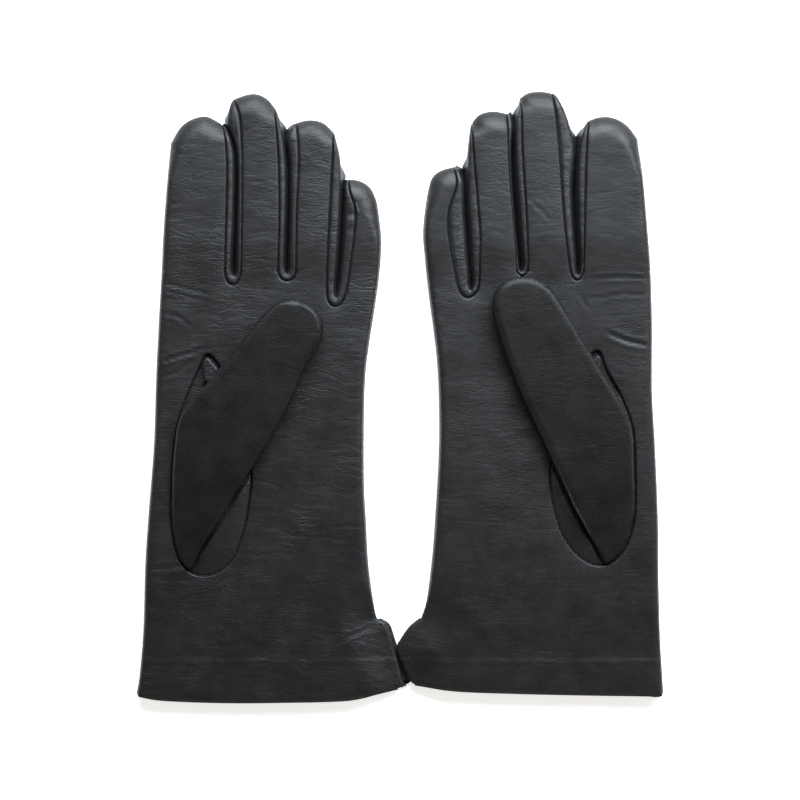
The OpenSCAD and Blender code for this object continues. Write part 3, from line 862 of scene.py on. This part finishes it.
def strips(pattern, material):
    """The fourchettes: one strip down each finger's side and up the next, parted where fingers bend."""
    pieces = {f: [] for f in FINGERS}
    webs = []
    for number, run in enumerate(pattern.slits()):
        seam = pattern.palm.points[run][::-1]
        edge = stretch(pattern.silhouette.points[::-1], seam[0], seam[-1])
        seam, edge = paired(seam, edge)
        sections = strip_sections(pattern, seam, edge)
        below = int(np.argmin(seam[:, 1]))
        one, two = FINGERS[number], FINGERS[number + 1]
        rows = np.arange(len(seam))
        a = rows[(rows <= below) & (seam[:, 1] > pattern.split[one])].max()
        b = rows[(rows >= below) & (seam[:, 1] > pattern.split[two])].min()
        pieces[one].append(sections[:, :a + 1])
        pieces[two].append(sections[:, b:])
        webs.append(sections[:, a:b + 1])
    for f in FINGERS:
        sheet_piece(pattern, f + "_strips", pieces[f], material, f, f + "_fourchettes", "strip_leather")
    sheet_piece(pattern, "webs", webs, material, "hand", "slit_webs", "strip_leather")


# ---------------------------------------------------------------- thumbs

class Thumb:
    """Outline and heights of one folded thumb."""

    def __init__(self, pattern):
        self.pattern = pattern
        loop = pattern.loops("thumb_leather")[0]
        lines = pattern.loops("thumb_seam")[0], pattern.palm.loops[1]
        seam, oval = (Outline(line, [""] * len(line)) for line in lines)
        kinds = []
        for a, b in zip(loop, np.roll(loop, -1, 0)):
            middle = ((a + b) / 2)[None]
            if seam.distance(middle)[0] < 0.4:
                kinds.append("sewn")
            else:
                kinds.append("low" if oval.distance(middle)[0] < 1.6 else "turned")
        points, kinds = rounded(loop, kinds, 0.95)
        self.line = Outline(points, kinds)
        self.base = points[np.argmin(points[:, 1])]
        self.tip = points[np.argmax(points[:, 1])]
        self.field = CrownField(self.line, reach=9.0)

    def edge_z(self, p):
        return 8.3 + 4.9 * rising(self.line.distance(p, "low"), 0, 20)

    def top_z(self, p):
        look = self.pattern.look
        axis = unit(self.tip - self.base)
        along = (p - self.base) @ axis
        climb = 0.5 * rising(along, -2, 46) + 0.5 * rising(along, 0, 112)
        crown = 10.2 + (look.thumb_height - 10.2) * climb
        crown = crown + 0.35 * self.pattern.relief(p, 70)
        edge = self.edge_z(p)
        d = self.line.distance(p)
        round_over = 1.6 + 0.4 * rising(along, 70, 105)
        z = edge + (crown - edge) * (0.92 + 0.08 * self.field.at(p)) * turned_over(d, round_over)
        rim = self.line.distance(p, "sewn")
        z -= 0.42 * np.exp(-((rim - THUMB_ROW) / 0.34) ** 2) * rising(d, 0, 0.6)
        return z

    def bottom_z(self, p):
        edge = self.edge_z(p)
        return edge + (9.75 - edge) * turned_over(self.line.distance(p), 4.0)


def thumb_pieces(pattern, material, strip_material):
    thumb = Thumb(pattern)
    pillow(pattern, "thumb_bag", thumb.line, pattern.look.grain_step, thumb.top_z, thumb.bottom_z,
           material, "thumb", "thumb_leather", "glove_leather")
    skirt(pattern, thumb, hand_leather(pattern.side))
    quirk(pattern, strip_material)


def around(line, count, centre):
    """Evenly turned points of a closed line, starting straight above its centre."""
    line = rounded(line, ["hand"] * len(line), 0.5)[0]
    angle = np.arctan2(line[:, 1] - centre[1], line[:, 0] - centre[0])
    order = np.argsort(angle)
    line, angle = line[order], angle[order]
    wanted = np.linspace(-np.pi, np.pi, count, endpoint=False)
    return np.column_stack([np.interp(wanted, angle, line[:, k], period=2 * np.pi) for k in (0, 1)])


def skirt(pattern, thumb, material):
    """Leather that rises from the seam round the thumb to the thumb's underside."""
    oval = pattern.palm.loops[1]
    throat = pattern.loops("hand_lining")[1]
    centre = throat.mean(0)
    outer, inner = around(oval, 150, centre), around(throat, 150, centre)
    base = pattern.palm_z(outer, pattern.palm)
    rows = []
    for t in np.concatenate([[0, 0.02, 0.05, 0.09, 0.14], np.linspace(0.2, 1, 14)]):
        place = outer + (inner - outer) * t
        z = base + (9.9 - base) * smooth(t ** 0.8)
        z += 1.35 * math.sin(math.pi * min(1, t * 1.1)) ** 0.8 * (1 - t) if 0 < t * 1.1 < 1 else 0
        valley = 2.2 * rising(place[:, 1], centre[1] + 20, centre[1] + 32)
        valley = valley * math.sin(math.pi * min(1, t * 1.5)) ** 0.7
        z = z - valley + 0.12 * valley * lattice_noise(place[:, 0] / 1.6, place[:, 1] / 9, 33)
        beside = np.where(thumb.line.holds(place), 0, thumb.line.distance(place, "turned", "sewn"))
        z = z - 1.5 * np.exp(-(beside / 1.1) ** 2) * rising(t, 0, 0.25) * (1 - rising(t, 0.6, 0.9))
        z = np.maximum(z + 0.5 * t * pattern.relief(place, 90), pattern.plateau(place, pattern.palm) - 2.3)
        rows.append(np.column_stack([place, z]))
    sheet = np.array(rows)
    faces = grid_faces(*sheet.shape[:2], closed=True)
    piece = put_object(pattern, "thumb_skirt", sheet.reshape(-1, 3), faces, material)
    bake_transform(piece)
    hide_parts(pattern.side + "_thumb_root")


def quirk(pattern, material):
    """Small gusset at the top of the thumb's seam."""
    line = moved_line(pattern, "thumb_quirk", 0.4, 0.3, corner=100)
    pillow(pattern, "quirk", line, 0.5, lambda p: 8.4 + 1.2 * turned_over(line.distance(p), 1.0),
           lambda p: 8.5 - 0.8 * turned_over(line.distance(p), 1.0),
           material, "hand", "thumb_quirk", "strip_leather")


# ---------------------------------------------------------------- cuff, linings

LINING_MIDDLE = 4.0     # height of the lining's edges above the table, mm
LINING_STEP = 2.6       # distance between points in the lining, mm


def edge_run(line, kind):
    """The points of an outline along a run of one label, and the directions into the leather there."""
    points = line.points[runs(line.kinds, kind)[0]]
    slope = unit(np.gradient(points, axis=0))
    return points, np.column_stack([-slope[:, 1], slope[:, 0]])


# Edges that are turned in: kind, depth in millimetres, name, CAD part
TURNED_IN = (("cuff", 13.5, "hem_turned", "hem"), ("vent", 4.6, "facing_turned", "vent_facing"))
ROLL = 0.55     # radius that the leather rolls over its cut edge with, mm


def turned_edges(pattern, material):
    """Hem and vent facing: the leather rolls over its cut edge and lies inside, on both faces."""
    for kind, depth, name, cad in TURNED_IN:
        sheets = []
        for line, height, inside in ((pattern.palm, pattern.palm_z, -1), (pattern.back, pattern.back_z, 1)):
            points, inward = edge_run(line, kind)
            points, inward = points[1:-1], inward[1:-1]
            rim = height(points, line)
            rows = [np.column_stack([points, rim])]
            for angle in np.radians([30, 60, 90, 120, 150, 180]):
                place = points - inward * ROLL * math.sin(angle)
                rows.append(np.column_stack([place, rim + inside * ROLL * (1 - math.cos(angle))]))
            for reach in (1.5, 3.5, 0.5 * (depth + 3.5), depth):
                place = points + inward * reach
                held = line.holds(place)
                place = np.where(held[:, None], place, points)
                rows.append(np.column_stack([place, height(place, line) + inside * 1.15]))
            sheet = np.array(rows)
            sheets.append(sheet if inside > 0 else sheet[:, ::-1])
        sheet_piece(pattern, name, sheets, material, "hand", cad, "glove_leather")


def linings(pattern, material):
    """Knitted lining inside the hand, the fingers and the thumb."""
    for part in ("hand",) + FINGERS:
        line = moved_line(pattern, part + "_lining", 1.6, -0.9)

        def top(p, line=line):
            high = pattern.plateau(p, pattern.palm) - 2.6
            return LINING_MIDDLE + (high - LINING_MIDDLE) * turned_over(line.distance(p) - 0.3, 5.5)

        def bottom(p, line=line):
            return LINING_MIDDLE - 1.7 * turned_over(line.distance(p), 4.0)

        pillow(pattern, part + "_knit", line, LINING_STEP, top, bottom,
               material, part, part + "_lining", "lining_knit")
    inner, thumb = moved_line(pattern, "thumb_lining", 1.6, -2.2), Thumb(pattern)

    def middle(p):
        return 0.5 * (thumb.top_z(p) + thumb.bottom_z(p))

    def thumb_top(p):
        return middle(p) + 0.5 * (thumb.top_z(p) - middle(p)) * turned_over(inner.distance(p), 4.0)

    def thumb_bottom(p):
        return middle(p) - 0.5 * (middle(p) - thumb.bottom_z(p)) * turned_over(inner.distance(p), 4.0)

    pillow(pattern, "thumb_knit", inner, LINING_STEP, thumb_top, thumb_bottom,
           material, "thumb", "thumb_lining", "lining_knit")


# ---------------------------------------------------------------- sewing

def stitches(path, pitch, length=0.72, thick=0.13, skip=1.0):
    """Short rounded stitches along a line of points in space: vertices and triangles."""
    travelled = np.concatenate([[0], np.cumsum(np.linalg.norm(np.diff(path, axis=0), axis=1))])
    vertices, faces = [], []
    ring = [(math.cos(a), math.sin(a)) for a in np.linspace(0, 2 * math.pi, 6, endpoint=False)]
    at = skip
    while at < travelled[-1] - skip:
        ends = [np.array([np.interp(at + s * pitch * length / 2, travelled, path[:, k]) for k in range(3)])
                for s in (-1, 1)]
        along = unit(ends[1] - ends[0])
        side = unit(np.cross(along, (0.01, 0.02, 1.0)))
        up = np.cross(side, along)
        first = len(vertices)
        for t, r in ((0, 0.25), (0.12, 0.8), (0.5, 1.05), (0.88, 0.8), (1, 0.25)):
            centre = ends[0] + (ends[1] - ends[0]) * t - up * 0.16 * (2 * t - 1) ** 4
            vertices += [centre + thick * r * (side * c + up * s) for c, s in ring]
        for row in range(4):
            for k in range(6):
                a, b = first + row * 6 + k, first + row * 6 + (k + 1) % 6
                faces += [(a, b, b + 6), (a, b + 6, a + 6)]
        for row, turn in ((0, -1), (4, 1)):
            cap = [first + row * 6 + k for k in range(6)][::turn]
            faces += [(cap[0], cap[k], cap[k + 1]) for k in range(1, 5)]
        at += pitch
    return np.array(vertices), np.array(faces)


def sewing(pattern, material):
    """Stitches of every seam, lying in their grooves."""
    palm = pattern.palm

    def sew(name, paths, part, cad):
        found = [stitches(path, pattern.look.stitch_pitch) for path in paths]
        shape = joined([s for s in found if len(s[0])])
        add_piece(pattern, name + "_sewing", shape, material, part, cad, "sewing_thread")

    def on_palm(line, above):
        return np.column_stack([line, pattern.palm_z(line, palm) + above])

    paths = {f: [] for f in FINGERS}
    for number, run in enumerate(pattern.slits()):
        points = palm.points[run][::-1]
        low = int(np.argmin(points[:, 1]))
        for f, half in ((FINGERS[number], points[:low]), (FINGERS[number + 1], points[low:])):
            half = half[half[:, 1] > pattern.split[f]]
            down = np.column_stack([half, pattern.back_z(half, pattern.back) - 0.10])
            paths[f] += [on_palm(half, 0.06), down]
    for f in FINGERS:
        sew(f, paths[f], f, f + "_seams")
    oval = palm.loops[1]
    sew("oval", [on_palm(np.concatenate([oval, oval[:1]]), 0.04)], "hand", "oval_seam")
    edge, inward = edge_run(palm, "side")
    sew("side", [np.column_stack([edge + 0.12 * inward, pattern.edge_z(edge)])], "hand", "side_seam")
    points, inward = edge_run(palm, "vent")
    rows = [points + inward * gap for gap in VENT_ROWS]
    sew("vent", [on_palm(row[palm.holds(row)], 0.05) for row in rows], "hand", "vent_stitching")
    thumb = Thumb(pattern)
    points, inward = edge_run(thumb.line, "sewn")
    path = points + inward * THUMB_ROW
    sew("thumb", [np.column_stack([path, thumb.top_z(path) - 0.06])], "thumb", "thumb_seam")


# ---------------------------------------------------------------- materials

NOISE, BANDS, VECTORS = "ShaderNodeTexNoise", "ShaderNodeTexWave", "ShaderNodeVectorMath"


class Nodes:
    """Short way to lay out a material's nodes."""

    def __init__(self, name):
        self.material = bpy.data.materials.new(name)
        self.material.use_nodes = True
        self.tree = self.material.node_tree
        self.tree.nodes.clear()
        self.shader = self.add("ShaderNodeBsdfPrincipled")
        out = self.add("ShaderNodeOutputMaterial")
        self.tree.links.new(self.shader.outputs[0], out.inputs[0])
        self.place = self.add("ShaderNodeAttribute", attribute_name=REST).outputs["Vector"]

    def add(self, kind, inputs=None, **choices):
        node = self.tree.nodes.new(kind)
        for key, value in choices.items():
            setattr(node, key, value)
        self.feed(node, inputs or {})
        return node

    def feed(self, node, inputs):
        """Sets a node's inputs: a number, a tuple or another node's output for each."""
        for key, value in inputs.items():
            socket = node.inputs[key]
            if isinstance(value, (int, float)):
                socket.default_value = value
            elif isinstance(value, tuple):
                solid = len(value) == 3 and len(socket.default_value) == 4
                socket.default_value = (*value, 1) if solid else value
            else:
                self.tree.links.new(value, socket)

    def math(self, operation, a, b=0.0):
        return self.add("ShaderNodeMath", {0: a, 1: b}, operation=operation).outputs[0]

    def sum(self, *terms):
        """Several values added up, each a value or a (value, share) pair."""
        total = None
        for term in terms:
            term = self.math("MULTIPLY", *term) if isinstance(term, tuple) else term
            total = term if total is None else self.math("ADD", total, term)
        return total

    def bent(self, scale, amount):
        """Places pushed about by smooth noise, so that lines made from them wander."""
        wander = self.add(NOISE, {"Vector": self.place, "Scale": scale, "Detail": 2})
        moved = self.add(VECTORS, {0: wander.outputs["Color"], "Scale": amount}, operation="SCALE")
        return self.add(VECTORS, {0: self.place, 1: moved.outputs[0]}, operation="ADD").outputs[0]

    def stretched(self, scale, vector):
        return self.add("ShaderNodeMapping", {"Vector": vector, "Scale": scale}).outputs[0]

    def noise(self, vector, scale, detail=2, rough=0.5, twist=0.0):
        return self.add(NOISE, {"Vector": vector, "Scale": scale, "Detail": detail, "Roughness": rough,
                                "Distortion": twist}).outputs["Fac"]

    def cells(self, vector, scale, feature="F1"):
        node = self.add("ShaderNodeTexVoronoi", {"Vector": vector, "Scale": scale}, feature=feature)
        return node.outputs["Distance"]

    def bands(self, scale, direction, twist=0.0):
        return self.add(BANDS, {"Vector": self.place, "Scale": scale, "Distortion": twist},
                        wave_type="BANDS", bands_direction=direction).outputs["Fac"]

    def ramp(self, value, low, high, to_low=0.0, to_high=1.0):
        values = dict(enumerate((value, low, high, to_low, to_high)))
        return self.add("ShaderNodeMapRange", values, clamp=True).outputs[0]

    def mixed(self, share, a, b):
        return self.add("ShaderNodeMix", {"Factor": share, 6: a, 7: b}, data_type="RGBA").outputs[2]

    def bump(self, height, distance, strength, under=None):
        inputs = {"Height": height, "Distance": distance, "Strength": strength}
        if under is not None:
            inputs["Normal"] = under
        return self.add("ShaderNodeBump", inputs).outputs[0]

    def finish(self, colour, normal, **inputs):
        """Sets the shader's colour, roughness and other inputs, and gives the material."""
        inputs = {key.replace("_", " "): value for key, value in inputs.items()}
        self.feed(self.shader, {"Base Color": colour, "Normal": normal, **inputs})
        return self.material


def tinted(colour, factor):
    return tuple(c * factor for c in colour)


def leather(name, colour, shift=0.0, wear=1.0, shine=0.42):
    """Dyed nappa: fine grain, small crosswise wrinkles, and a soft uneven shine."""
    n = Nodes(name)
    blotch, fine = n.noise(n.place, 45 + shift, 4, 0.6), n.noise(n.place, 900, 3, 0.6)
    share = n.ramp(n.sum((blotch, 0.8), (fine, 0.2)), 0.36, 0.66)
    grain = n.cells(n.place, 2300)
    pores = n.ramp(n.cells(n.place, 1500), 0.05, 0.30)
    bent = n.bent(60, 0.006)
    cracks = n.ramp(n.cells(n.stretched((270, 820, 400), bent), 1.0, "DISTANCE_TO_EDGE"), 0.0, 0.16)
    lines = n.stretched((62, 390, 180), n.bent(110, 0.005))
    lines = n.ramp(n.cells(lines, 1.0, "DISTANCE_TO_EDGE"), 0.0, 0.075)
    here = n.ramp(n.noise(n.place, 60, 3), 0.47, 0.66)
    lines = n.math("SUBTRACT", 1.0, n.math("MULTIPLY", n.math("SUBTRACT", 1.0, lines), here))
    streaks = n.noise(n.stretched((260, 1100, 500), bent), 1.0, 3, 0.6, 0.6)
    patch = n.ramp(n.noise(n.place, 34, 3), 0.40, 0.64, 0.06, 0.95)
    wrinkles = n.math("MULTIPLY", n.sum((cracks, 0.5), streaks), patch)
    folds = n.ramp(n.noise(n.stretched((55, 190, 120), bent), 1.0, 3, 0.55, 0.9), 0.36, 0.56)
    rough = n.ramp(n.sum(n.noise(n.place, 120, 3), (grain, 0.3)), 0.35, 0.95, 0.40, 0.56)
    normal = n.bump(n.sum(grain, (pores, 0.6)), 0.00006, 0.40)
    marks = (wrinkles, 0.00016, 0.50), (lines, 0.00016, 0.42), (folds, 0.00028, 0.26)
    for height, depth, strength in marks:
        normal = n.bump(height, depth, strength * wear, normal)
    return n.finish(n.mixed(share, tinted(colour, 0.62), tinted(colour, 1.45)), normal, Roughness=rough,
                    Specular_IOR_Level=shine, Sheen_Weight=0.015, Sheen_Roughness=0.45)


def knit(name, colour):
    """Fine knitted lining."""
    n = Nodes(name)
    weave = n.math("MULTIPLY", n.bands(260, "Y", 1.5), n.bands(320, "X", 1.0))
    share = n.sum((weave, 0.7), (n.noise(n.place, 1400, 3), 0.3))
    return n.finish(n.mixed(share, tinted(colour, 0.5), colour), n.bump(share, 0.0003, 0.6), Roughness=0.9)


def thread(name, colour):
    """Waxed sewing thread with a fine twist."""
    n = Nodes(name)
    twist = n.bands(1500, "DIAGONAL")
    return n.finish(n.mixed(twist, tinted(colour, 0.6), colour), n.bump(twist, 0.00005, 0.5), Roughness=0.55)


def table_paper(name, colour):
    """Matt white paper, bright enough to stay white under the lamps."""
    n = Nodes(name)
    n.place = n.add("ShaderNodeTexCoord").outputs["Object"]
    mottle = n.noise(n.place, 300, 3)
    return n.finish(n.mixed(mottle, tinted(colour, 0.99), colour), n.bump(mottle, 0.00005, 0.1),
                    Roughness=0.85, Emission_Color=(1.0, 0.985, 0.96), Emission_Strength=0.66)


def made(name, maker, dye_name, *values):
    """A material, made the first time that it is asked for."""
    return bpy.data.materials.get(name) or maker(name, tuple(getattr(colours(), dye_name)), *values)


def hand_leather(side):
    """The left glove has been worn more than the right, so it is more wrinkled."""
    return made("black_nappa_" + side, leather, "leather", 0.0, {"left": 1.0, "right": 0.6}[side])


def strip_leather():
    return made("black_nappa_strips", leather, "strip", 9.0)


PATTERNS = {}


def pattern_of(side):
    if side not in PATTERNS:
        PATTERNS[side] = Pattern(side)
    return PATTERNS[side]


# ---------------------------------------------------------------- operators

# Lamps: name, place and size in metres, power in watts, colour
LAMPS = (
    ("window", (0.15, 0.52, 0.50), (0.9, 0.40), 16.0, (0.86, 0.93, 1.0)),
    ("left_wall", (-1.15, 0.1, 0.75), (1.5, 0.8), 2.2, (1.0, 0.97, 0.93)),
    ("right_wall", (1.15, 0.1, 0.78), (1.5, 0.8), 4.0, (1.0, 0.97, 0.93)),
    ("room", (0.1, -1.2, 0.8), (1.4, 0.8), 3.3, (1.0, 0.93, 0.83)))


class GLOVES_OT_stage(bpy.types.Operator):
    """Lay the table, hang the lamps and set the camera above the gloves"""
    bl_idname = "gloves.stage"
    bl_label = "Stage"

    def execute(self, context):
        scene = context.scene
        bpy.ops.mesh.primitive_plane_add(size=6)
        floor = context.object
        floor.name = "table"
        floor.location.z = CAD_BOX[0][2] - 0.0002
        floor.data.materials.append(made("table_paper", table_paper, "floor"))
        lens = bpy.data.cameras.new("camera")
        lens.lens, lens.sensor_width = 100, 36
        lens.clip_end = 20
        camera = bpy.data.objects.new("camera", lens)
        middle = (Vector(CAD_BOX[0]) + Vector(CAD_BOX[1])) / 2
        camera.location = (middle.x, middle.y - 0.0014, 0.889 + 0.006)
        scene.collection.objects.link(camera)
        scene.camera = camera
        scene.view_settings.view_transform = "Standard"
        for name, place, size, power, tint in LAMPS:
            lamp = bpy.data.lights.new(name, "AREA")
            lamp.shape = "RECTANGLE"
            lamp.size, lamp.size_y = size
            lamp.energy = power
            lamp.color = tint
            holder = bpy.data.objects.new(name, lamp)
            holder.location = place
            holder.rotation_euler = (Vector((0, 0, 0)) - Vector(place)).to_track_quat("-Z", "Y").to_euler()
            scene.collection.objects.link(holder)
        world = bpy.data.worlds.new("room")
        world.use_nodes = True
        world.node_tree.nodes["Background"].inputs[0].default_value = (0.9, 0.95, 1.0, 1)
        world.node_tree.nodes["Background"].inputs[1].default_value = 0.05
        scene.world = world
        return {"FINISHED"}


def for_both(make):
    """Does a step once for each glove."""
    for side in GLOVES:
        make(pattern_of(side))
    return {"FINISHED"}


class GLOVES_OT_leather(bpy.types.Operator):
    """Shape the palms, backs and fingers"""
    bl_idname = "gloves.leather"
    bl_label = "Palms and Fingers"

    def execute(self, context):
        return for_both(lambda pattern: leather_faces(pattern, hand_leather(pattern.side)))


class GLOVES_OT_strips(bpy.types.Operator):
    """Set the strips in between the fingers"""
    bl_idname = "gloves.strips"
    bl_label = "Finger Strips"

    def execute(self, context):
        return for_both(lambda pattern: strips(pattern, strip_leather()))


class GLOVES_OT_thumbs(bpy.types.Operator):
    """Shape the thumbs, the leather round their bases and their gussets"""
    bl_idname = "gloves.thumbs"
    bl_label = "Thumbs"

    def execute(self, context):
        dark = made("black_nappa_thumbs", leather, "thumb", 4.0, 0.5, 0.30)
        return for_both(lambda pattern: thumb_pieces(pattern, dark, strip_leather()))


class GLOVES_OT_cuffs(bpy.types.Operator):
    """Turn in the hems and the edges of the vents"""
    bl_idname = "gloves.cuffs"
    bl_label = "Cuffs"

    def execute(self, context):
        return for_both(lambda pattern: turned_edges(pattern, hand_leather(pattern.side)))


class GLOVES_OT_linings(bpy.types.Operator):
    """Put the knitted linings inside"""
    bl_idname = "gloves.linings"
    bl_label = "Linings"

    def execute(self, context):
        return for_both(lambda pattern: linings(pattern, made("lining_knit", knit, "lining")))


class GLOVES_OT_sewing(bpy.types.Operator):
    """Sew the seams"""
    bl_idname = "gloves.sewing"
    bl_label = "Sewing"

    def execute(self, context):
        return for_both(lambda pattern: sewing(pattern, made("black_thread", thread, "thread")))


STEPS = (GLOVES_OT_stage, GLOVES_OT_leather, GLOVES_OT_strips, GLOVES_OT_thumbs, GLOVES_OT_cuffs,
         GLOVES_OT_linings, GLOVES_OT_sewing)


class GLOVES_PT_make(bpy.types.Panel):
    """Lists the steps in which the gloves are made"""
    bl_label = "Dress Gloves"
    bl_idname = "GLOVES_PT_make"
    bl_space_type = "VIEW_3D"
    bl_region_type = "UI"
    bl_category = "Gloves"

    def draw(self, context):
        for group in (context.scene.glove_settings, context.scene.glove_colours):
            column = self.layout.column(align=True)
            for name in group.bl_rna.properties.keys():
                if name not in ("rna_type", "name"):
                    column.prop(group, name)
        for step in STEPS:
            self.layout.operator(step.bl_idname)


CLASSES = (GloveSettings, GloveColours) + STEPS + (GLOVES_PT_make,)


def register():
    for c in CLASSES:
        bpy.utils.register_class(c)
    bpy.types.Scene.glove_settings = PointerProperty(type=GloveSettings)
    bpy.types.Scene.glove_colours = PointerProperty(type=GloveColours)


def unregister():
    del bpy.types.Scene.glove_colours
    del bpy.types.Scene.glove_settings
    for c in reversed(CLASSES):
        bpy.utils.unregister_class(c)


def main():
    register()
    for step in STEPS:
        getattr(bpy.ops.gloves, step.bl_idname.split(".")[1])()
    bpy.context.view_layer.update()


if __name__ == "__main__":
    main()
